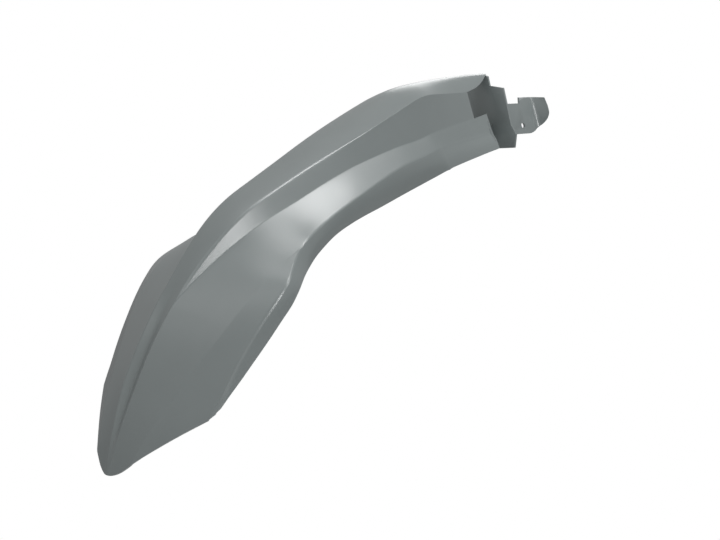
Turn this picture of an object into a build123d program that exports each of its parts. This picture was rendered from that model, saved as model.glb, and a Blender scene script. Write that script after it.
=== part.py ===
"""Front mudguard of an off-road motorbike, moulded in one piece.

X points forward, Y to the left and Z up along the steering axis. The origin is the
centre of the clamp pad, on the face that the lower fork clamp sits on.
"""
import os
from math import atan2, cos, hypot, radians, sin

from build123d import *

# Skin
WALL = 2.8

# Spine in side view: a level seat, a bend, a straight run, a shoulder and a nose arc
SPINE_START = 34.7
SPINE_HEIGHT = 54.0
SEAT_PITCH = 5.2
SEAT_LENGTH = 144.5
BEND_RADIUS = 120.0
BEND_ANGLE = 20.4
RUN_LENGTH = 237.0
SHOULDER_RADIUS = 253.0
SHOULDER_ANGLE = 18.3
NOSE_RADIUS = 469.0
NOSE_ANGLE = 32.8
NOSE_SPARE = 26.5
TAIL_SPARE = 40.0

# Full widths of the raised spine, of its foot and of the lower edge
CROWN_WIDTH = 81.0
SPINE_WING_WIDTH = 39.0
SPINE_TIP_WIDTH = 6.0
FOOT_WIDTH = 94.0
CREASE_WIDTH = 184.0
WING_WIDTH = 235.0
CORNER_WIDTH = 204.0
WAIST_WIDTH = 145.0
TUNNEL_WIDTH = 120.0

# Depths below the spine line
SPINE_STEP = 21.0
CROWN_RISE = 17.0
CREASE_DEPTH = 30.0
LIP_HEIGHT = 15.5
WING_DEPTH = 54.5
TUNNEL_DEPTH = 87.0

# Front outline
TIP_RADIUS = 31.0
CORNER_RADIUS = 18.0
FRONT_ANGLE = 43.8

# Rear end of the shell: flank edges, fork clearance and tongue
FLANK_END = 78.0
NOTCH_END = 108.0
NOTCH_FLOOR = 2.5
NOTCH_RADIUS = 4.0
TONGUE_WIDTH = 20.0
TONGUE_DROP = 2.0

# Bulkhead in front of the clamp
BULKHEAD_FRONT = 44.0
BULKHEAD_NECK_WIDTH = 27.0
BULKHEAD_TOP = 35.7
BULKHEAD_TOP_WIDTH = 72.0
BULKHEAD_WAIST = 11.0
BULKHEAD_WAIST_WIDTH = 101.0
BULKHEAD_FOOT = 45.0
BULKHEAD_FOOT_WIDTH = 118.0

# Clamp pad, its raised land and its holes
PAD_THICKNESS = 4.0
LAND_RISE = 1.5
LAND_LENGTH = 54.0
LAND_WIDTH = 56.0
PAD_REAR = 33.0
PAD_REAR_WIDTH = 62.0
PAD_CORNER = 10.0
BOLT_ACROSS = 42.0
BOLT_ALONG = 36.0
BOLT_HOLE = 6.6
BOLT_BOSS = 15.0
BOSS_DROP = 3.0

# Side walls and ears beside the clamp
SIDE_PAD_WIDTH = 79.0
SIDE_LEAN = 18.5
SIDE_TOP = 15.0
EAR_START = 7.0
EAR_TOP = 22.5
EAR_REAR = -15.5
EAR_RADIUS = 9.0
EAR_TURN = 55.0
EAR_FLANGE = 16.0
EAR_FOOT = 24.0
EAR_CORNER = 32.0
EAR_RAKE = 5.0
SIDE_HOLE = 7.0
SIDE_HOLE_X = 10.0
SIDE_HOLE_Z = -13.5

# Webs that tie the flanks to the bulkhead
WEB_INSET = 3.0
WEB_REAR_WIDTH = 32.0
WEB_DROP = 4.0

SPINE_LEGS = [
    (SEAT_LENGTH, 0.0),
    (BEND_RADIUS * radians(BEND_ANGLE), BEND_ANGLE),
    (RUN_LENGTH, 0.0),
    (SHOULDER_RADIUS * radians(SHOULDER_ANGLE), SHOULDER_ANGLE),
    (NOSE_RADIUS * radians(NOSE_ANGLE), NOSE_ANGLE),
]
SPINE_LENGTH = sum(length for length, turn in SPINE_LEGS)


def spine(distance):
    """X, Z and downward pitch in degrees at a distance from the rear end."""
    x, z, pitch = SPINE_START, SPINE_HEIGHT, SEAT_PITCH
    left = distance
    for number, (length, turn) in enumerate(SPINE_LEGS):
        last = number == len(SPINE_LEGS) - 1
        part = left if last else min(left, length)
        bend = turn * part / length
        half = radians(bend / 2)
        chord = part * (sin(half) / half if half else 1.0)
        x += chord * cos(radians(pitch) + half)
        z -= chord * sin(radians(pitch) + half)
        pitch += bend
        left -= part
        if left <= 0:
            break
    return x, z, pitch


def spine_plane(distance):
    """Plane square to the spine, with its own X to the left and its own Y upward."""
    x, z, pitch = spine(distance)
    return Plane(
        origin=(x, 0, z),
        x_dir=(0, 1, 0),
        z_dir=(cos(radians(pitch)), 0, -sin(radians(pitch))),
    )


# Wall sections at even steps along the spine: half widths and depths of the spine edge, the spine foot,
# the crease, the fold and the lower edge
CROWN = CROWN_WIDTH / 2
FOOT = FOOT_WIDTH / 2
CREASE = CREASE_WIDTH / 2
WING = WING_WIDTH / 2
CORNER = CORNER_WIDTH / 2
WAIST = WAIST_WIDTH / 2
TUNNEL = TUNNEL_WIDTH / 2
SPINE_WING = SPINE_WING_WIDTH / 2
SPINE_TIP = SPINE_TIP_WIDTH / 2
FOLD_DEPTH = WING_DEPTH - LIP_HEIGHT
FLARE = WING - WAIST
FLANK_FOOT = (FOOT - 10, 45)
SECTIONS = [
    # Tongue and flanks
    [(CROWN - 18.5, CROWN_RISE - 1.5), (FOOT - 13, 42), (44, 63), (45.6, 66), (TUNNEL - 2, TUNNEL_DEPTH - 3)],
    [(CROWN - 17, CROWN_RISE - 1), (FOOT - 12, 43), (45, 64), (46.6, 67), (TUNNEL - 1, TUNNEL_DEPTH - 2)],
    [(CROWN - 14.7, CROWN_RISE), FLANK_FOOT, (46.3, 66.3), (48.2, 69.4), (TUNNEL, TUNNEL_DEPTH)],
    [(CROWN - 10, CROWN_RISE), (FOOT - 7, 48.6), (48.7, 68.3), (50.7, 71.6), (TUNNEL + 1, TUNNEL_DEPTH + 3.6)],
    # Bend
    [(CROWN - 6, CROWN_RISE), (FOOT - 4, 51.8), (50.6, 69.8), (52.6, 73.2), (TUNNEL + 2, TUNNEL_DEPTH + 7.8)],
    [(CROWN - 2, CROWN_RISE - 2.5), (FOOT - 1.4, 54.3), (53.2, 71), (55.1, 74.5), (TUNNEL + 3, TUNNEL_DEPTH + 11.4)],
    [(CROWN, 11), (FOOT, 50.5), (55.1, 67.7), (57, 71.2), (TUNNEL + 4, TUNNEL_DEPTH + 8.6)],
    # Run
    [(CROWN, 7), (FOOT, 40.2), (56.8, 60.5), (58.6, 63.7), (TUNNEL + 5.4, TUNNEL_DEPTH + 1.7)],
    [(CROWN - 1.3, 4.5), (FOOT - 0.7, 32.2), (59.2, 54.5), (61, 57.6), (TUNNEL + 7.6, TUNNEL_DEPTH - 5.3)],
    [(35.8, 2.5), (44.3, SPINE_STEP + 5.3), (WAIST - 9.3, 51), (WAIST - 7.5, 54), (WAIST - 2, 74.6)],
    [(31.8, 1.5), (41.6, SPINE_STEP + 2.3), (WAIST - 3.2, 46.8), (WAIST - 1.5, 49.6), (WAIST + 1.3, 67)],
    [(29.1, 1.3), (39.5, SPINE_STEP + 0.8), (WAIST + 0.14 * FLARE - 2.8, 43), (WAIST + 0.14 * FLARE - 1.2, 45.6),
     (WAIST + 0.14 * FLARE, 62.8)],
    # Wings
    [(27.3, 1.2), (36.5, SPINE_STEP - 1.4), (WAIST + 0.32 * FLARE - 3.4, 41.9), (WAIST + 0.32 * FLARE - 1.7, 44.2),
     (WAIST + 0.32 * FLARE, 62.8)],
    [(24, 1.3), (31.7, SPINE_STEP - 4.9), (WAIST + 0.59 * FLARE - 9, 37.5), (WAIST + 0.59 * FLARE - 2, 41.8),
     (WAIST + 0.59 * FLARE, 60.9)],
    [(SPINE_WING, 1.3), (SPINE_WING + 5.7, 11), (CREASE, CREASE_DEPTH), (WING - 3, FOLD_DEPTH), (WING - 1, WING_DEPTH)],
    [(15.9, 1), (18.7, 5), (CREASE - 6.2, CREASE_DEPTH - 2), (WING - 4, FOLD_DEPTH - 0.3), (WING - 1, WING_DEPTH)],
    [(12.8, 0.7), (14.6, 1.5), (CREASE - 16.2, CREASE_DEPTH - 2.7), (WING - 9, FOLD_DEPTH + 0.2),
     (WING - 6, WING_DEPTH - 1.2)],
    # Nose
    [(11.5, 0.5), (13.3, 1.2), (CREASE - 27.4, 24.4), (CORNER + 1.7, FOLD_DEPTH + 0.9), (CORNER + 4.7, WING_DEPTH - 6.2)],
    [(10.6, 0.5), (12.6, 1.2), (CREASE - 38.8, 19.2), (CORNER - 3.6, FOLD_DEPTH - 0.5), (CORNER - 1, FOLD_DEPTH + 3.2)],
    [(7, 0.6), (9, 1.2), (40.3, 11.8), (CORNER - 12, FOLD_DEPTH - 5), (CORNER - 9, FOLD_DEPTH - 2.3)],
    [(4.2, 0.5), (6.2, 1.1), (28.5, 6), (CORNER - 21, 29), (CORNER - 18, 31.5)],
    [(SPINE_TIP, 0.4), (SPINE_TIP + 2, 1.0), (20, 3), (CORNER - 30, 24), (CORNER - 27, 26.5)],
]
SECTION_STEP = (TAIL_SPARE + SPINE_LENGTH + NOSE_SPARE) / (len(SECTIONS) - 1)


def unit(x, y):
    length = hypot(x, y)
    return x / length, y / length


def inward(point, normal_a, normal_b):
    """Point one wall under the skin, on the bisector of the two faces that meet there."""
    x, y = unit(normal_a[0] + normal_b[0], normal_a[1] + normal_b[1])
    reach = WALL / (x * normal_a[0] + y * normal_a[1])
    return point[0] - reach * x, point[1] - reach * y


def skin(lines):
    """Outer and inner points of one half section, from the spine edge to the lower edge."""
    outer = [(half, -depth) for half, depth in lines]
    edge_x, edge_y = outer[0]
    crown_turn = 2 * atan2(-edge_y, edge_x)
    normals = [(sin(crown_turn), cos(crown_turn))]
    for (xa, ya), (xb, yb) in zip(outer, outer[1:]):
        normals.append(unit(ya - yb, xb - xa))
    normals.append(normals[-1])
    inner = [inward(p, a, b) for p, a, b in zip(outer, normals, normals[1:])]
    return outer, inner


def flipped(points):
    return [(-x, y) for x, y in points]


def section(distance, lines):
    """Closed wall section with a rounded spine top, square to the spine."""
    outer, inner = skin(lines)
    edges = [
        Polyline(*reversed(flipped(outer))),
        ThreePointArc(flipped(outer)[0], (0, 0), outer[0]),
        Polyline(*outer),
        Line(outer[-1], inner[-1]),
        Polyline(*reversed(inner)),
        ThreePointArc(inner[0], (0, -WALL), flipped(inner)[0]),
        Polyline(*flipped(inner)),
        Line(flipped(inner)[-1], flipped(outer)[-1]),
    ]
    return spine_plane(distance) * make_face(Curve() + edges)


shell = loft([section(SECTION_STEP * n - TAIL_SPARE, lines) for n, lines in enumerate(SECTIONS)])

# Front outline: a rounded point with straight edges and rounded corners
tip_x, tip_z, tip_pitch = spine(SPINE_LENGTH)
nose_pitch = radians(tip_pitch - 6)
nose_plane = Plane(
    origin=(tip_x, 0, tip_z),
    x_dir=(0, 1, 0),
    z_dir=(sin(nose_pitch), 0, cos(nose_pitch)),
)
front_slope = cos(radians(FRONT_ANGLE)) / sin(radians(FRONT_ANGLE))
apex = -TIP_RADIUS * (1 / sin(radians(FRONT_ANGLE)) - 1)
corner_y = apex + CORNER * front_slope
wide = WING_WIDTH
front_corners = [(0, apex, TIP_RADIUS), (CORNER, corner_y, CORNER_RADIUS), (-CORNER, corner_y, CORNER_RADIUS)]
front_cut = make_face(
    Polyline(
        (-wide, corner_y + (wide - CORNER) * 2),
        (-CORNER, corner_y),
        (0, apex),
        (CORNER, corner_y),
        (wide, corner_y + (wide - CORNER) * 2),
        (wide, -wide),
        (-wide, -wide),
        close=True,
    )
)
for x, y, radius in front_corners:
    corner = front_cut.vertices().sort_by_distance((x, y, 0))[0]
    front_cut = fillet(corner, radius)
shell -= extrude(nose_plane * front_cut, amount=wide, both=True)

# Rear end: flanks stop ahead of the clamp, the top narrows to a tongue that ends on the bulkhead
deep = TUNNEL_DEPTH + SPINE_HEIGHT
shell -= Pos(BULKHEAD_FRONT - WALL, 0, 0) * Box(
    deep, 2 * TUNNEL_WIDTH, 2 * deep, align=(Align.MAX, Align.CENTER, Align.CENTER)
)
shell -= Pos(FLANK_END, 0, NOTCH_FLOOR) * Box(
    deep, 2 * TUNNEL_WIDTH, deep, align=(Align.MAX, Align.CENTER, Align.MAX)
)
tongue_half = TONGUE_WIDTH / 2
notch_outline = Polyline(
    (NOTCH_END, TUNNEL_WIDTH),
    (NOTCH_END, CROWN - 7.5),
    (NOTCH_END - 8, CROWN - 14.5),
    (BULKHEAD_FRONT, tongue_half),
    (BULKHEAD_FRONT - 20, tongue_half),
    (BULKHEAD_FRONT - 20, TUNNEL_WIDTH),
    close=True,
)
notch = extrude(Plane.XY.offset(NOTCH_FLOOR) * make_face(notch_outline), amount=deep)
notch_foot = notch.edges().filter_by(Axis.Y).group_by(Axis.Z)[0].sort_by(Axis.X)[-1]
notch = fillet(notch_foot, NOTCH_RADIUS)
shell -= notch
shell -= mirror(notch, Plane.XZ)

# Bulkhead: upright plate under the tongue that closes the tunnel in front of the clamp
side_lean = radians(SIDE_LEAN)
side_slope = sin(side_lean) / cos(side_lean)
pad_side = SIDE_PAD_WIDTH / 2
tongue_x, tongue_z, tongue_pitch = spine(BULKHEAD_FRONT - SPINE_START)
bulkhead_half = [
    (0, tongue_z - WALL / 2),
    (tongue_half, tongue_z - WALL / 2 - TONGUE_DROP),
    (BULKHEAD_NECK_WIDTH / 2, BULKHEAD_TOP),
    (BULKHEAD_TOP_WIDTH / 2, BULKHEAD_TOP),
    (BULKHEAD_WAIST_WIDTH / 2, -BULKHEAD_WAIST),
    (BULKHEAD_FOOT_WIDTH / 2, -BULKHEAD_FOOT / 2),
    (BULKHEAD_FOOT_WIDTH / 2 - 2, -BULKHEAD_FOOT + 8),
    (0, -BULKHEAD_FOOT),
]
bulkhead_wire = Polyline(*bulkhead_half, *reversed(flipped(bulkhead_half[1:-1])), close=True)
bulkhead = extrude(
    Plane(origin=(BULKHEAD_FRONT - WALL, 0, 0), x_dir=(0, 1, 0), z_dir=(1, 0, 0)) * make_face(bulkhead_wire),
    amount=WALL,
)

# Clamp pad: floor with a raised land for the clamp and a round boss under every bolt hole
pad_half = pad_side - WALL / 2
pad_outline = Polyline(
    (BULKHEAD_FRONT - WALL / 2, pad_half),
    (EAR_REAR, pad_half),
    (-PAD_REAR, PAD_REAR_WIDTH / 2),
    (-PAD_REAR, -PAD_REAR_WIDTH / 2),
    (EAR_REAR, -pad_half),
    (BULKHEAD_FRONT - WALL / 2, -pad_half),
    close=True,
)
pad_face = make_face(pad_outline)
pad_face = fillet(pad_face.vertices().group_by(Axis.X)[0], PAD_CORNER)
pad = extrude(Pos(0, 0, -LAND_RISE) * pad_face, amount=-PAD_THICKNESS)
land = extrude(RectangleRounded(LAND_LENGTH, LAND_WIDTH, PAD_CORNER), amount=-PAD_THICKNESS)
bolt_places = GridLocations(BOLT_ALONG, BOLT_ACROSS, 2, 2)
bosses = bolt_places * Cylinder(
    BOLT_BOSS / 2, PAD_THICKNESS + BOSS_DROP, align=(Align.CENTER, Align.CENTER, Align.MAX)
)
holes = bolt_places * Cylinder(BOLT_HOLE / 2, 4 * PAD_THICKNESS)

# Side wall with its ear: a thin strip in plan, raised along the lean of the wall
strip_path = Line((BULKHEAD_FRONT - WALL / 2, 0), (EAR_REAR, 0))
ear_arc = JernArc(strip_path @ 1, strip_path % 1, EAR_RADIUS, -EAR_TURN)
flange = Line(ear_arc @ 1, ear_arc @ 1 + (ear_arc % 1) * EAR_FLANGE)
strip = trace(Curve() + [strip_path, ear_arc, flange], WALL)
strip_low = -EAR_FOOT - EAR_CORNER
strip_rise = EAR_TOP - strip_low + 10
wall_blank = extrude(
    Pos(0, pad_side - WALL / 2 - strip_low * side_slope, strip_low) * strip,
    amount=strip_rise,
    dir=(0, -side_slope, 1),
)
ear_tail = (ear_arc @ 1 + (ear_arc % 1) * EAR_FLANGE).X - WALL
wall_face = make_face(
    Polyline(
        (BULKHEAD_FRONT, -EAR_FOOT),
        (BULKHEAD_FRONT, SIDE_TOP),
        (EAR_START, SIDE_TOP),
        (EAR_START - 2, EAR_TOP),
        (ear_tail + EAR_RAKE, EAR_TOP),
        (ear_tail, -EAR_FOOT),
        close=True,
    )
)
wall_face = fillet(wall_face.vertices().sort_by_distance((ear_tail, -EAR_FOOT, 0))[0], EAR_CORNER)
wall_mask = extrude(Plane.XZ * wall_face, amount=-TUNNEL_WIDTH)
side_wall = wall_blank & wall_mask
side_drill = Rot(90, 0, 0) * Cylinder(SIDE_HOLE / 2, TUNNEL_WIDTH / 2)
side_wall -= Pos(SIDE_HOLE_X, pad_side, SIDE_HOLE_Z) * side_drill

# Web from the rear edge of a flank to the bulkhead
flank_plane = Plane(origin=(FLANK_END + WALL, 0, 0), x_dir=(0, 1, 0), z_dir=(-1, 0, 0))
seat_plane = Plane(origin=(BULKHEAD_FRONT - WALL / 2, 0, 0), x_dir=(0, 1, 0), z_dir=(-1, 0, 0))
flank_low = SPINE_HEIGHT - TUNNEL_DEPTH + WEB_DROP
flank_high = NOTCH_FLOOR - 2 * WEB_DROP
flank_slope = (TUNNEL - FLANK_FOOT[0]) / (TUNNEL_DEPTH - FLANK_FOOT[1])
flank_foot = TUNNEL - WEB_INSET - WEB_DROP * flank_slope
flank_head = flank_foot - (flank_high - flank_low) * flank_slope
web_rear = WEB_REAR_WIDTH / 2


def web_end(plane, foot, head, low, high):
    """Slim upright strip across which the web is lofted."""
    corners = [(foot, -low), (head, -high), (head - WALL, -high), (foot - WALL, -low)]
    return plane * make_face(Polyline(*corners, close=True))


web = loft([
    web_end(flank_plane, flank_foot, flank_head, flank_low, flank_high),
    web_end(seat_plane, web_rear, web_rear, flank_low - WEB_DROP, flank_high - 2 * WEB_DROP),
])

front_mudguard = shell + bulkhead + pad + land + bosses
for piece in (side_wall, web):
    front_mudguard += piece
    front_mudguard += mirror(piece, Plane.XZ)
front_mudguard -= holes
front_mudguard.label = "front_mudguard"
front_mudguard.color = Color(0.21, 0.23, 0.23)

os.makedirs("parts", exist_ok=True)
export_step(front_mudguard, "parts/front_mudguard.step")
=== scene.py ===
from math import cos, hypot, radians, sin, sqrt

import bmesh
import bpy
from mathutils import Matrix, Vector


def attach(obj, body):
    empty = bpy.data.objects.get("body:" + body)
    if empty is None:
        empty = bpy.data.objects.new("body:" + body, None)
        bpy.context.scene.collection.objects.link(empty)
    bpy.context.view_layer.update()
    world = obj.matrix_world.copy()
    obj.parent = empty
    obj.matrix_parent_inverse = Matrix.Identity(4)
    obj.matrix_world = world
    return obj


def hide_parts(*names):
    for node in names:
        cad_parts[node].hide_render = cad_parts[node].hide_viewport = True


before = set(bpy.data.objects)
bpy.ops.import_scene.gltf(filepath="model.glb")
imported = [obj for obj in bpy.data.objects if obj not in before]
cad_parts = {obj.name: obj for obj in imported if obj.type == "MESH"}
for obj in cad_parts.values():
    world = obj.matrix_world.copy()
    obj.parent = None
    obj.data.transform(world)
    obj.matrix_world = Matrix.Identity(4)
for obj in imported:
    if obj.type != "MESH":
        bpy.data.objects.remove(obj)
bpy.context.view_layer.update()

# Shell of the guard: the long outer skin of one injection moulding in polypropylene, of even wall, drawn
# along a bent spine. The top is a rounded crown at the rear that narrows to a low band on the nose, with a
# channel and a creased wing on each side and a lip turned down along the edge. Sizes are in millimetres.
WALL = 2.8
SPINE_START = (34.7, 54.0)
SPINE_PITCH = 5.2
# Length and downward turn in degrees of each stretch of the spine, from the rear
SPINE_LEGS = [(144.5, 0.0), (42.7, 20.4), (237.0, 0.0), (80.8, 18.3), (269.7, 32.8)]
SPINE_LENGTH = sum(length for length, turn in SPINE_LEGS)


def spine(distance):
    """X, Z and downward pitch in radians at a distance from the rear end of the spine."""
    x, z = SPINE_START
    pitch = radians(SPINE_PITCH)
    left = distance
    for number, (length, turn) in enumerate(SPINE_LEGS):
        part = left if number == len(SPINE_LEGS) - 1 else min(left, length)
        half = radians(turn * part / length) / 2
        chord = part * (sin(half) / half if half else 1.0)
        x += chord * cos(pitch + half)
        z -= chord * sin(pitch + half)
        pitch += 2 * half
        left -= part
        if left <= 0:
            break
    return x, z, pitch


# The skin is drawn between five lines along each side. Each point has a distance along the spine, a half
# width and a depth under the spine. EDGE is where the crown turns down into the channel.
EDGE = [
    (0, 23.5, 16), (40, 26, 16.5), (80, 30.5, 15.5), (120, 34.8, 12.8), (160, 38.6, 9.5),
    (200, 40.3, 7), (240, 40.7, 5), (280, 39.6, 3.2), (320, 36.4, 1.6), (360, 32.5, 0.6),
    (400, 30, 0.2), (440, 28, 0.1), (480, 24.3, 0.4), (520, 19.6, 0.8), (560, 15.9, 0.9),
    (600, 12.8, 0.6), (640, 11.5, 0.5), (680, 10.6, 0.5), (720, 7, 0.6), (760, 4.2, 0.5), (800, 3, 0.4),
]
# Foot of the channel wall
FOOT = [
    (0, 35, 43), (40, 36.8, 45), (80, 40, 48.6), (120, 43, 51.8), (160, 45.6, 54.3), (200, 47, 50.5),
    (240, 47, 40.2), (280, 46.3, 32.2), (320, 44.3, 26.3), (360, 41.6, 23.3), (400, 39.5, 21.8),
    (440, 36.5, 19.6), (480, 31.7, 16.1), (520, 25.2, 11), (551, 20, 6.4), (579, 15.4, 1.9),
    (600, 14.6, 1.5), (640, 13.3, 1.2), (680, 12.6, 1.2), (720, 9, 1.2), (760, 6.2, 1.1), (800, 5, 1),
]
# Crease between the channel floor and the wing
CREASE = [
    (0, 45, 64), (43, 46.5, 66.4), (86, 49, 68.6), (130, 51.2, 70.2), (166, 53.7, 70.6),
    (207, 57.8, 65.4), (249, 61.2, 56.3), (293, 64.6, 50.8), (335, 68.2, 47.7), (375, 72, 44.9),
    (409, 75.6, 43.6), (439, 82.4, 42.6), (461, 87.2, 42.2), (478, 88.2, 39.6), (496, 89.2, 35.4),
    (521, 91.2, 30), (546, 90.7, 26.5), (567, 87.3, 24.7), (602, 79.9, 23.1), (635, 70.3, 20.7),
    (681, 56.6, 15.7), (696, 51.1, 13), (740, 36.1, 6.6), (800, 20, 3),
]
# Fold at which the wing turns down into the lip
FOLD = [
    (0, 46.8, 67), (43, 48.3, 69.5), (86, 50.8, 71.8), (130, 53, 73.6), (166, 55.5, 74),
    (207, 59.6, 68.8), (249, 62.7, 59.7), (293, 66, 54.2), (335, 69.5, 51), (375, 73.2, 48.2),
    (409, 77.4, 46.9), (439, 84.5, 45.2), (461, 89.4, 42.8), (470, 92.6, 41.8), (485, 99.4, 41.7),
    (505, 109.4, 40), (514, 113.4, 39.2), (526, 115.4, 38.4), (545, 114.9, 38.4), (569, 112.5, 38.5),
    (605, 107.7, 39.1), (647, 102.8, 39.7), (663, 101.2, 40), (690, 96, 37), (740, 84, 30.5), (800, 72, 24),
]
# Lower rim of the lip
RIM = [
    (0, 59, 85.6), (43, 60, 87.8), (109, 60.6, 95.1), (156, 61.2, 100.4), (186, 60.8, 99.9),
    (225, 58.6, 95.2), (264, 60, 88.5), (304, 62.6, 81.5), (349, 66.3, 72.8), (389, 71, 67.8),
    (426, 78.5, 68.2), (458, 88.7, 66.4), (484, 99.8, 62.3), (504, 109.8, 58.4), (515, 113.8, 57),
    (530, 116.2, 57), (544, 116, 56.7), (584, 111.7, 56.5), (629, 106.3, 51.9), (663, 103.5, 44),
    (673, 101.7, 42.1), (690, 98.5, 40.1), (740, 87, 33.6), (800, 75, 27.1),
]
# Rise of the middle of the crown over the spine, at distances along it; on the nose it sinks to a groove
CROWN = [
    (0, 0), (20, 1.2), (40, 2.6), (70, 3.5), (110, 3.1), (140, 1.9), (170, 0.2), (200, 0), (260, 0.3),
    (320, 0.8), (400, 1), (480, 0.8), (530, 0.4), (565, -1.6), (600, -4), (650, -6), (690, -5.6),
    (720, -4), (745, -1), (800, 0.3),
]
# Half width of the tongue that the notches leave at the rear end of the crown
TONGUE = [(7, 5.5), (15, 10), (28, 17), (41, 21.8), (53, 25.2), (65, 27.9), (74, 29.7)]
NOTCH_FRONT = TONGUE[-1][0]


def on_line(line, distance):
    """What a line holds at a distance along the spine, smooth through its points."""
    last = len(line) - 1
    k = max(i for i in range(last) if i == 0 or line[i][0] <= distance)
    step = line[k + 1][0] - line[k][0]
    t = (distance - line[k][0]) / step

    def slope(i, axis):
        a, b = line[max(i - 1, 0)], line[min(i + 1, last)]
        return (b[axis] - a[axis]) / (b[0] - a[0])

    return tuple(
        line[k][axis] * (1 + 2 * t) * (1 - t) ** 2
        + line[k + 1][axis] * t * t * (3 - 2 * t)
        + step * (slope(k, axis) * t * (1 - t) ** 2 - slope(k + 1, axis) * t * t * (1 - t))
        for axis in range(1, len(line[0]))
    )


# How far before the crown edge, foot, crease and fold the skin starts to turn. The turn at the crown edge
# tightens toward the rear.
TURN = (1.6, 0.7, 0.8, 1.5)
TURN_SHARE = 0.4
CROWN_TURN_FROM = 250.0
CROWN_TURN_OVER = 90.0
CROWN_TURN_LEAST = 0.1
CROWN_SHARES = (0, 0.35, 0.7, 1)
DOME_POWER = 2
GROOVE_POWER = 1.15
LIP_BULGE = 0.08


def half_section(distance):
    """Points of one half section of the cage, from the middle to the lower rim."""
    edge, foot, crease, fold, rim = (on_line(line, distance) for line in (EDGE, FOOT, CREASE, FOLD, RIM))
    top = edge[0] if distance > NOTCH_FRONT else on_line(TONGUE, distance)[0]
    lift = on_line(CROWN, distance)[0]
    rise = edge[1] + lift
    power = DOME_POWER if rise > 0 else GROOVE_POWER
    crown = [(top * share, rise * (top * share / edge[0]) ** power - lift) for share in CROWN_SHARES]
    points = crown[:-1]
    before = points[-1]
    corners = [crown[-1], foot, crease, fold, rim]
    for number, turn in enumerate(TURN):
        corner = corners[number]
        after = corners[number + 1]
        if number == 0:
            turn *= min(max((distance - CROWN_TURN_FROM) / CROWN_TURN_OVER, CROWN_TURN_LEAST), 1)
        for neighbour in (before, after):
            reach = hypot(neighbour[0] - corner[0], neighbour[1] - corner[1])
            share = min(turn / reach, TURN_SHARE)
            points.append(tuple(c + (n - c) * share for c, n in zip(corner, neighbour)))
        if corner is not fold:
            points.append(tuple((a + b) / 2 for a, b in zip(corner, after)))
        before = corner
    points.append(((fold[0] + rim[0]) / 2 + LIP_BULGE * (rim[1] - fold[1]), (fold[1] + rim[1]) / 2))
    points.append(rim)
    return points


# The front is cut to a point: an arc at the tip, a straight slope on each side and a rounded wing corner
FRONT_FROM = 590.0
TIP_RADIUS = 32.0
FRONT_SLOPE = 1.044
SLOPE_LENGTH = hypot(1, FRONT_SLOPE)
CORNER_FROM = 93.0
CORNER_BEND = 0.13
HALVINGS = 40


def front_end(column):
    """Distance along the spine at which a column of the cage meets the pointed front edge."""
    low, high = FRONT_FROM, SPINE_LENGTH
    for halving in range(HALVINGS):
        middle = (low + high) / 2
        width = half_section(middle)[column][0]
        if width < TIP_RADIUS * FRONT_SLOPE / SLOPE_LENGTH:
            front = SPINE_LENGTH - TIP_RADIUS + sqrt(TIP_RADIUS ** 2 - width ** 2)
        else:
            front = SPINE_LENGTH + TIP_RADIUS * (SLOPE_LENGTH - 1) - width * FRONT_SLOPE
        front -= CORNER_BEND * max(0, width - CORNER_FROM) ** 2
        if middle < front:
            low = middle
        else:
            high = middle
    return low


# Columns of the cage run along the guard, with a pair on either side of each sharp line. CROWN_SIDE and
# FOOT_SIDE are the ones just outside the crown edge and the foot. Rows run across it: raked along the
# notches, closer where the wings start, and fanned out to the pointed front.
COLUMNS = len(half_section(FRONT_FROM))
SHARP_COLUMNS = (3, 4, 6, 7, 9, 10, 12, 13)
CROWN_SIDE = 4
FOOT_SIDE = 7
FLANK_END = 43.0
REAR_RAKE = 0.091
REAR_ROWS = [TONGUE[0][0], 18.0, 30.0, FLANK_END, 58.0, NOTCH_FRONT]
ROW_STEP = 10.5
WING_STEP = 8.0
WING_FROM = 455.0
WING_TO = 535.0
LAST_STEP = 12.0
FRONT_ROWS = 16

rows = []
for distance in REAR_ROWS:
    rake = REAR_RAKE * min((NOTCH_FRONT - distance) / (NOTCH_FRONT - FLANK_END), 1)
    depths = [depth for half, depth in half_section(distance)]
    rows.append([distance + (rake * depth if c >= FOOT_SIDE else 0) for c, depth in enumerate(depths)])
distance = NOTCH_FRONT
while distance < FRONT_FROM - LAST_STEP:
    distance += WING_STEP if WING_FROM <= distance < WING_TO else ROW_STEP
    rows.append([distance] * COLUMNS)
rows.append([FRONT_FROM] * COLUMNS)
ends = [front_end(column) for column in range(COLUMNS)]
for n in range(1, FRONT_ROWS + 1):
    rows.append([FRONT_FROM + (end - FRONT_FROM) * n / FRONT_ROWS for end in ends])

bpy.ops.object.select_all(action="DESELECT")
bpy.ops.mesh.primitive_grid_add(x_subdivisions=2 * COLUMNS - 2, y_subdivisions=len(rows) - 1, size=1.0)
shell = bpy.context.object
shell.name = "mudguard_shell"
ACROSS = 2 * COLUMNS - 1
for r, distances in enumerate(rows):
    for c, distance in enumerate(distances):
        half, depth = half_section(distance)[c]
        x, z, pitch = spine(distance)
        x -= depth * sin(pitch)
        z -= depth * cos(pitch)
        for side in (-1, 1):
            index = r * ACROSS + COLUMNS - 1 + side * c
            shell.data.vertices[index].co = Vector((x, side * half, z)) / 1000


def cage_spot(vertex):
    """Row of a cage vertex and its column, counted from the middle."""
    return vertex.index // ACROSS, abs(vertex.index % ACROSS - (COLUMNS - 1))


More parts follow.
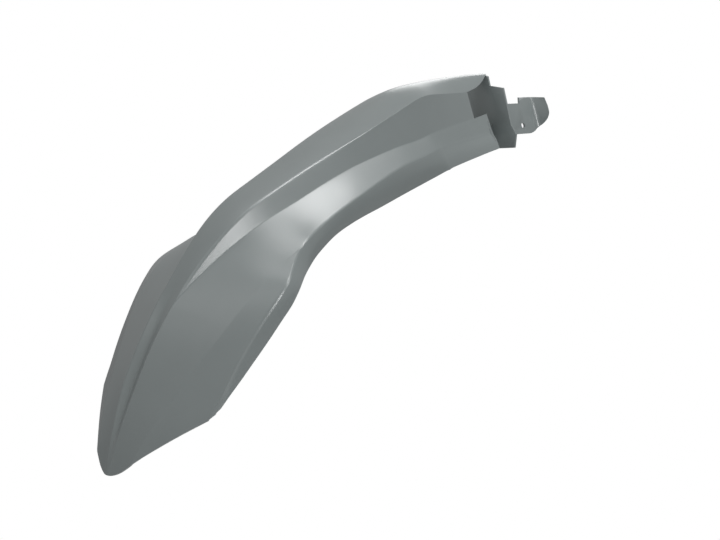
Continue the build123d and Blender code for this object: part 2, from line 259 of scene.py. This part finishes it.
# The sharp lines are creased, and the notches and the rear of the flanks are cut away
bpy.ops.object.mode_set(mode="EDIT")
bpy.ops.mesh.select_all(action="SELECT")
bpy.ops.mesh.flip_normals()
bpy.ops.mesh.select_mode(type="EDGE")
bpy.ops.mesh.select_all(action="DESELECT")
cage = bmesh.from_edit_mesh(shell.data)
for line in cage.edges:
    columns = [cage_spot(vertex)[1] for vertex in line.verts]
    line.select = columns[0] == columns[1] and columns[0] in SHARP_COLUMNS
bmesh.update_edit_mesh(shell.data)
bpy.ops.transform.edge_crease(value=1.0)
bpy.ops.mesh.select_mode(type="FACE")
bpy.ops.mesh.select_all(action="DESELECT")
cage = bmesh.from_edit_mesh(shell.data)
for face in cage.faces:
    spots = [cage_spot(vertex) for vertex in face.verts]
    row = min(r for r, c in spots)
    column = min(c for r, c in spots)
    in_notch = row < REAR_ROWS.index(NOTCH_FRONT) and CROWN_SIDE <= column < FOOT_SIDE
    behind_flank = row < REAR_ROWS.index(FLANK_END) and column >= CROWN_SIDE
    face.select = in_notch or behind_flank
bmesh.update_edit_mesh(shell.data)
bpy.ops.mesh.delete(type="FACE")
bpy.ops.object.mode_set(mode="OBJECT")

smooth = shell.modifiers.new("Smooth", "SUBSURF")
smooth.levels = 2
smooth.render_levels = 2
smooth.boundary_smooth = "PRESERVE_CORNERS"
bpy.ops.object.modifier_apply(modifier="Smooth")
wall = shell.modifiers.new("Wall", "SOLIDIFY")
wall.thickness = WALL / 1000
wall.offset = -1
wall.use_even_offset = True
bpy.ops.object.modifier_apply(modifier="Wall")
EDGE_ROUND = 0.6


def round_edges(piece, angle):
    """Rounds the edges of the active piece that are sharper than an angle in degrees."""
    bevel = piece.modifiers.new("Round", "BEVEL")
    bevel.width = EDGE_ROUND / 1000
    bevel.segments = 2
    bevel.limit_method = "ANGLE"
    bevel.angle_limit = radians(angle)
    bpy.ops.object.modifier_apply(modifier="Round")


round_edges(shell, 50)
bpy.ops.object.shade_smooth_by_angle(angle=radians(35))
even = shell.modifiers.new("Even", "WEIGHTED_NORMAL")
even.keep_sharp = True
bpy.ops.object.modifier_apply(modifier="Even")

# Clamp end: an upright plate, a flat pad with four bolt holes and two side walls with turned-out ears, of the
# same polypropylene. It is moulded in one with the shell and bolts up under the lower fork clamp. Its shape
# is that of the solid, cut off at the front of the plate.
PLATE_BACK = 41.0
PLATE_FRONT = 43.9
# Half width and height of the plate's lower and upper corners, and how far each is drawn down or up
PLATE_CORNERS = ((57.0, -37.0, -3.2), (13.5, 35.7, 2.5))
CORNER_REACH = 0.5
MERGE = 0.01
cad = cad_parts["front_mudguard"]
bracket = bpy.data.objects.new("mudguard_bracket", cad.data.copy())
bpy.context.scene.collection.objects.link(bracket)
bpy.ops.object.select_all(action="DESELECT")
bpy.context.view_layer.objects.active = bracket
bracket.select_set(True)
bpy.ops.object.mode_set(mode="EDIT")
bpy.ops.mesh.select_all(action="SELECT")
bpy.ops.mesh.remove_doubles(threshold=MERGE / 1000)
bpy.ops.mesh.select_all(action="SELECT")
bpy.ops.mesh.bisect(plane_co=(PLATE_FRONT / 1000, 0, 0), plane_no=(1, 0, 0), use_fill=True, clear_outer=True)
bpy.ops.mesh.select_all(action="SELECT")
bpy.ops.mesh.dissolve_limited(angle_limit=radians(1))
for half, height, rise in PLATE_CORNERS:
    for vertex in bmesh.from_edit_mesh(bracket.data).verts:
        x, y, z = vertex.co * 1000
        vertex.select = x > PLATE_BACK and hypot(abs(y) - half, z - height) < CORNER_REACH
    bpy.ops.transform.translate(value=(0, 0, rise / 1000))
bpy.ops.object.mode_set(mode="OBJECT")

# Each ear is turned further out about its bend, which leans with the side wall, and drawn a little longer
EAR_BEND = -21.7
EAR_TOP = 22.5
EAR_HALF_AT_TOP = 35.2
EAR_LEAN = 0.335
EAR_WALL = 3.0
EAR_TURN = radians(22)
EAR_STRETCH = 1.1
for vertex in bracket.data.vertices:
    x, y, z = vertex.co * 1000
    bend = EAR_HALF_AT_TOP + (EAR_TOP - z) * EAR_LEAN
    if x < EAR_BEND and abs(y) > bend - EAR_WALL:
        back = (x - EAR_BEND) * EAR_STRETCH
        out = (abs(y) - bend) * EAR_STRETCH
        x = EAR_BEND + back * cos(EAR_TURN) + out * sin(EAR_TURN)
        turned = bend + out * cos(EAR_TURN) - back * sin(EAR_TURN)
        vertex.co = Vector((x, turned if y > 0 else -turned, z)) / 1000
round_edges(bracket, 40)
bpy.ops.object.shade_smooth_by_angle(angle=radians(30))

# Webs: two upright plates of the same polypropylene under the flanks, as thick as the wall. They are moulded
# in one with the rest and tie the upright plate of the clamp end to the shell.
WEB_REAR = (Vector((43.0, 16.0, -33.0)), Vector((43.0, 16.0, -13.5)))
WEB_FRONT = (Vector((80.8, 54.8, -29.0)), Vector((80.8, 41.9, -5.5)))
web_run = sum(WEB_FRONT, Vector()) - sum(WEB_REAR, Vector())
web_side = Vector((-web_run.y, web_run.x, 0)).normalized() * WALL / 2
webs = []
for side in (-1, 1):
    bpy.ops.object.select_all(action="DESELECT")
    bpy.ops.mesh.primitive_cube_add(size=2.0)
    web = bpy.context.object
    webs.append(web)
    for vertex in web.data.vertices:
        foot, head = WEB_FRONT if vertex.co.x > 0 else WEB_REAR
        corner = (head if vertex.co.z > 0 else foot) + web_side * vertex.co.y
        corner.y *= side
        vertex.co = corner / 1000
    bpy.ops.object.mode_set(mode="EDIT")
    bpy.ops.mesh.select_all(action="SELECT")
    bpy.ops.mesh.normals_make_consistent(inside=False)
    bpy.ops.object.mode_set(mode="OBJECT")

bpy.ops.object.select_all(action="DESELECT")
for piece in (bracket, shell, *webs):
    piece.select_set(True)
bpy.context.view_layer.objects.active = shell
bpy.ops.object.join()


# Finish of the whole moulding: grey polypropylene, coloured right through and left as it leaves the mould.
# The eye gets an even blue-grey with a soft sheen and faint clouds of shade. The moulded grain is half a
# millimetre wide and kept faint, so that it speckles little where the skin is seen at a low angle.
def colour(code):
    """Linear colour of a hex sRGB code."""
    shares = [int(code[i:i + 2], 16) / 255 for i in (0, 2, 4)]
    return tuple(s / 12.92 if s <= 0.04045 else ((s + 0.055) / 1.055) ** 2.4 for s in shares) + (1.0,)


def add_node(tree, kind, settings=None, inputs=None, links=None):
    """One node with its settings, its plain input values and its links from other nodes' sockets."""
    node = tree.nodes.new(kind)
    for name, value in (settings or {}).items():
        setattr(node, name, value)
    for name, value in (inputs or {}).items():
        node.inputs[name].default_value = value
    for name, socket in (links or {}).items():
        tree.links.new(socket, node.inputs[name])
    return node


GRAIN = 0.5
GRAIN_DEPTH = 0.05
GRAIN_STRENGTH = 0.05
CLOUD = 45.0
SMOOTHEST = 0.27
ROUGHEST = 0.33
plastic = bpy.data.materials.new("Satin moulded polypropylene")
plastic.use_nodes = True
tree = plastic.node_tree
shader = tree.nodes["Principled BSDF"]
spot = add_node(tree, "ShaderNodeTexCoord").outputs["Object"]
cloud = add_node(tree, "ShaderNodeTexNoise", inputs={"Scale": 1000 / CLOUD, "Detail": 3.0},
                 links={"Vector": spot})
shade = add_node(tree, "ShaderNodeMix", {"data_type": "RGBA"}, {"A": colour("737A7A"), "B": colour("798080")},
                 {"Factor": cloud.outputs["Fac"]})
sheen = add_node(tree, "ShaderNodeMapRange", inputs={"To Min": SMOOTHEST, "To Max": ROUGHEST},
                 links={"Value": cloud.outputs["Fac"]})
grain = add_node(tree, "ShaderNodeTexNoise", inputs={"Scale": 1000 / GRAIN, "Detail": 2.0},
                 links={"Vector": spot})
bump = add_node(tree, "ShaderNodeBump", inputs={"Strength": GRAIN_STRENGTH, "Distance": GRAIN_DEPTH / 1000},
                links={"Height": grain.outputs["Fac"]})
tree.links.new(shade.outputs["Result"], shader.inputs["Base Color"])
tree.links.new(sheen.outputs["Result"], shader.inputs["Roughness"])
tree.links.new(bump.outputs["Normal"], shader.inputs["Normal"])
shader.inputs["Specular IOR Level"].default_value = 1.0
shell.data.materials.clear()
shell.data.materials.append(plastic)
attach(shell, "root")
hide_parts("front_mudguard")


# Floor: a wide sheet of matt pale studio board, laid well below the part so that it takes no sharp shadow.
# The camera sees it as plain white, and the part gets its light back as from a pale grey.
def white_to_camera(tree, others, white_kind, output_kind):
    """Shows plain white to the camera and a shader to all other rays."""
    ray = add_node(tree, "ShaderNodeLightPath")
    white = add_node(tree, white_kind, inputs={"Color": colour("FFFFFF"), "Strength": 1.0})
    mix = add_node(tree, "ShaderNodeMixShader",
                   links={0: ray.outputs["Is Camera Ray"], 1: others.outputs[0], 2: white.outputs[0]})
    add_node(tree, output_kind, links={"Surface": mix.outputs[0]})


FLOOR_WIDTH_M = 40
FLOOR_HEIGHT_M = -1.1
bpy.ops.object.select_all(action="DESELECT")
bpy.ops.mesh.primitive_plane_add(size=FLOOR_WIDTH_M, location=(0, 0, FLOOR_HEIGHT_M))
floor = bpy.context.object
floor.name = "studio_floor"
board = bpy.data.materials.new("Matt studio board")
board.use_nodes = True
board.node_tree.nodes.clear()
matt = add_node(board.node_tree, "ShaderNodeBsdfDiffuse", inputs={"Color": colour("C8C8C8")})
white_to_camera(board.node_tree, matt, "ShaderNodeEmission", "ShaderNodeOutputMaterial")
floor.data.materials.append(board)

# Studio light: white surroundings and round softboxes at one distance from the part. The ones above light the
# crown and the channels, the one on the left draws the highlight along the wing, the low and front ones fill
# the shade, and the one behind gives the crown its bright rim.
SURROUNDINGS = 0.39
world = bpy.data.worlds.new("White surroundings")
bpy.context.scene.world = world
world.use_nodes = True
world.node_tree.nodes.clear()
soft = add_node(world.node_tree, "ShaderNodeBackground",
                inputs={"Color": colour("FFFFFF"), "Strength": SURROUNDINGS})
white_to_camera(world.node_tree, soft, "ShaderNodeBackground", "ShaderNodeOutputWorld")
# Elevation and azimuth in degrees, width in metres and power in watts
LAMPS = {
    "Overhead left": (75, 135, 0.9, 14.7),
    "Ceiling": (90, 0, 0.9, 7.8),
    "High left": (50, 120, 0.9, 7.0),
    "Left softbox": (25, 80, 0.85, 15.0),
    "Right": (60, 270, 0.9, 3.9),
    "Low fill": (-12, 45, 0.9, 6.0),
    "Front": (50, -15, 1.5, 3.6),
    "Rim": (26, 219, 0.9, 5.0),
}
LAMP_DISTANCE_M = 2.4
MIDDLE_M = Vector((0.3, 0, -0.12))


def toward(elevation, azimuth):
    """Unit vector at an elevation and an azimuth in degrees."""
    flat = cos(radians(elevation))
    return Vector((flat * cos(radians(azimuth)), flat * sin(radians(azimuth)), sin(radians(elevation))))


for name, (elevation, azimuth, width, power) in LAMPS.items():
    away = toward(elevation, azimuth)
    lamp_data = bpy.data.lights.new(name, "AREA")
    lamp_data.shape = "DISK"
    lamp_data.size = width
    lamp_data.energy = power
    lamp = bpy.data.objects.new(name, lamp_data)
    lamp.location = MIDDLE_M + away * LAMP_DISTANCE_M
    lamp.rotation_euler = away.to_track_quat("Z", "Y").to_euler()
    bpy.context.scene.collection.objects.link(lamp)

# Camera: a 60 mm lens on a 36 mm wide sensor, upright, a little above the part and off its left front, so
# that the crown, one whole wing and the clamp end are seen.
CAMERA_AIM_M = Vector((0.266, 0, -0.18))
CAMERA_DISTANCE_M = 1.458
CAMERA_ELEVATION = 10
CAMERA_AZIMUTH = 45.775
away = toward(CAMERA_ELEVATION, CAMERA_AZIMUTH)
camera_data = bpy.data.cameras.new("Camera")
camera_data.lens = 60
camera_data.sensor_width = 36
camera = bpy.data.objects.new("Camera", camera_data)
camera.location = CAMERA_AIM_M + away * CAMERA_DISTANCE_M
camera.rotation_euler = away.to_track_quat("Z", "Y").to_euler()
bpy.context.scene.collection.objects.link(camera)
bpy.context.scene.camera = camera
bpy.context.scene.view_settings.view_transform = "Standard"
